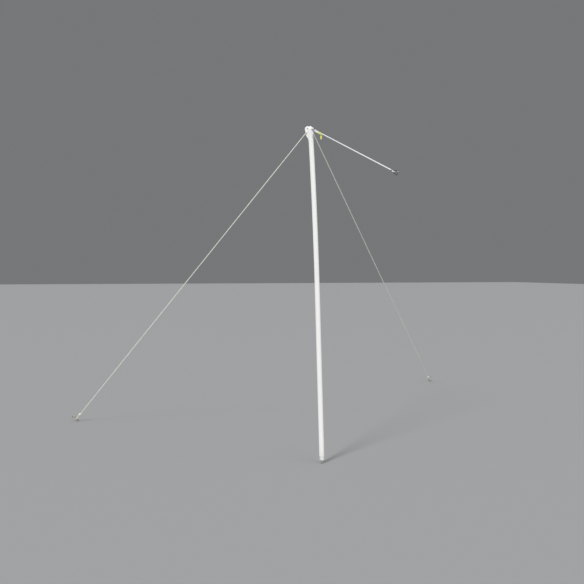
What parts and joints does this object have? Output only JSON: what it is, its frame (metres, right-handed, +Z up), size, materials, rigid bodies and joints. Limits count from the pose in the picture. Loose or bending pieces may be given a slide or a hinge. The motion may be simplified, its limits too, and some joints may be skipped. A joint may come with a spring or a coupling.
{
  "type": "shade sail post",
  "caption": "White steel mast on a ground pin, leaning back from a shade sail, with its guys, pegs and the taut sail line ending in a snap hook.",
  "frame": {"origin": "middle of the ground pin's cut face at ground level, under the foot of the mast", "axes": "+Z up; +X from the mast towards the sail, along the sail line seen from above; the right guy's peg lies at +Y and the left guy's at -Y"},
  "size_m": [3.7702, 4.9601, 2.8771],
  "materials": {
    "white_paint": "white powder coat, satin, a little soiled",
    "grey_plastic": "light grey moulded plastic",
    "pin_steel": "galvanised, dull",
    "link_steel": "bright zinc plate, a little dulled",
    "hook_steel": "darkened steel, worn bright where the ring bears",
    "sail_rope": "cool white braided rope",
    "guy_rope": "off-white braided rope",
    "yellow_tape": "yellow tape, satin",
    "dark_twine": "dark waxed twine",
    "peg_steel": "galvanised, scuffed and earthy"
  },
  "bodies": {
    "root": {"foot_insert": "grey_plastic", "foot_washer": "pin_steel", "ground_pin": "pin_steel", "head_cap": "white_paint", "left_guy_lug": "white_paint", "left_guy_peg_knot": "guy_rope", "left_guy_peg_loop": "guy_rope", "left_guy_rope": "guy_rope", "left_guy_stopper_knot": "guy_rope", "left_peg": "peg_steel", "mast_tube": "white_paint", "quick_link": "link_steel", "quick_link_nut": "link_steel", "right_guy_lug": "white_paint", "right_guy_peg_knot": "guy_rope", "right_guy_peg_loop": "guy_rope", "right_guy_rope": "guy_rope", "right_guy_stopper_knot": "guy_rope", "right_peg": "peg_steel", "sail_line": "sail_rope", "sail_line_head_eye": "sail_rope", "sail_line_hook_eye": "sail_rope", "sail_line_tape": "yellow_tape", "sail_line_whipping": "dark_twine", "sail_lug": "white_paint", "snap_hook": "hook_steel", "snap_hook_gate": "hook_steel"}
  },
  "joints": []
}
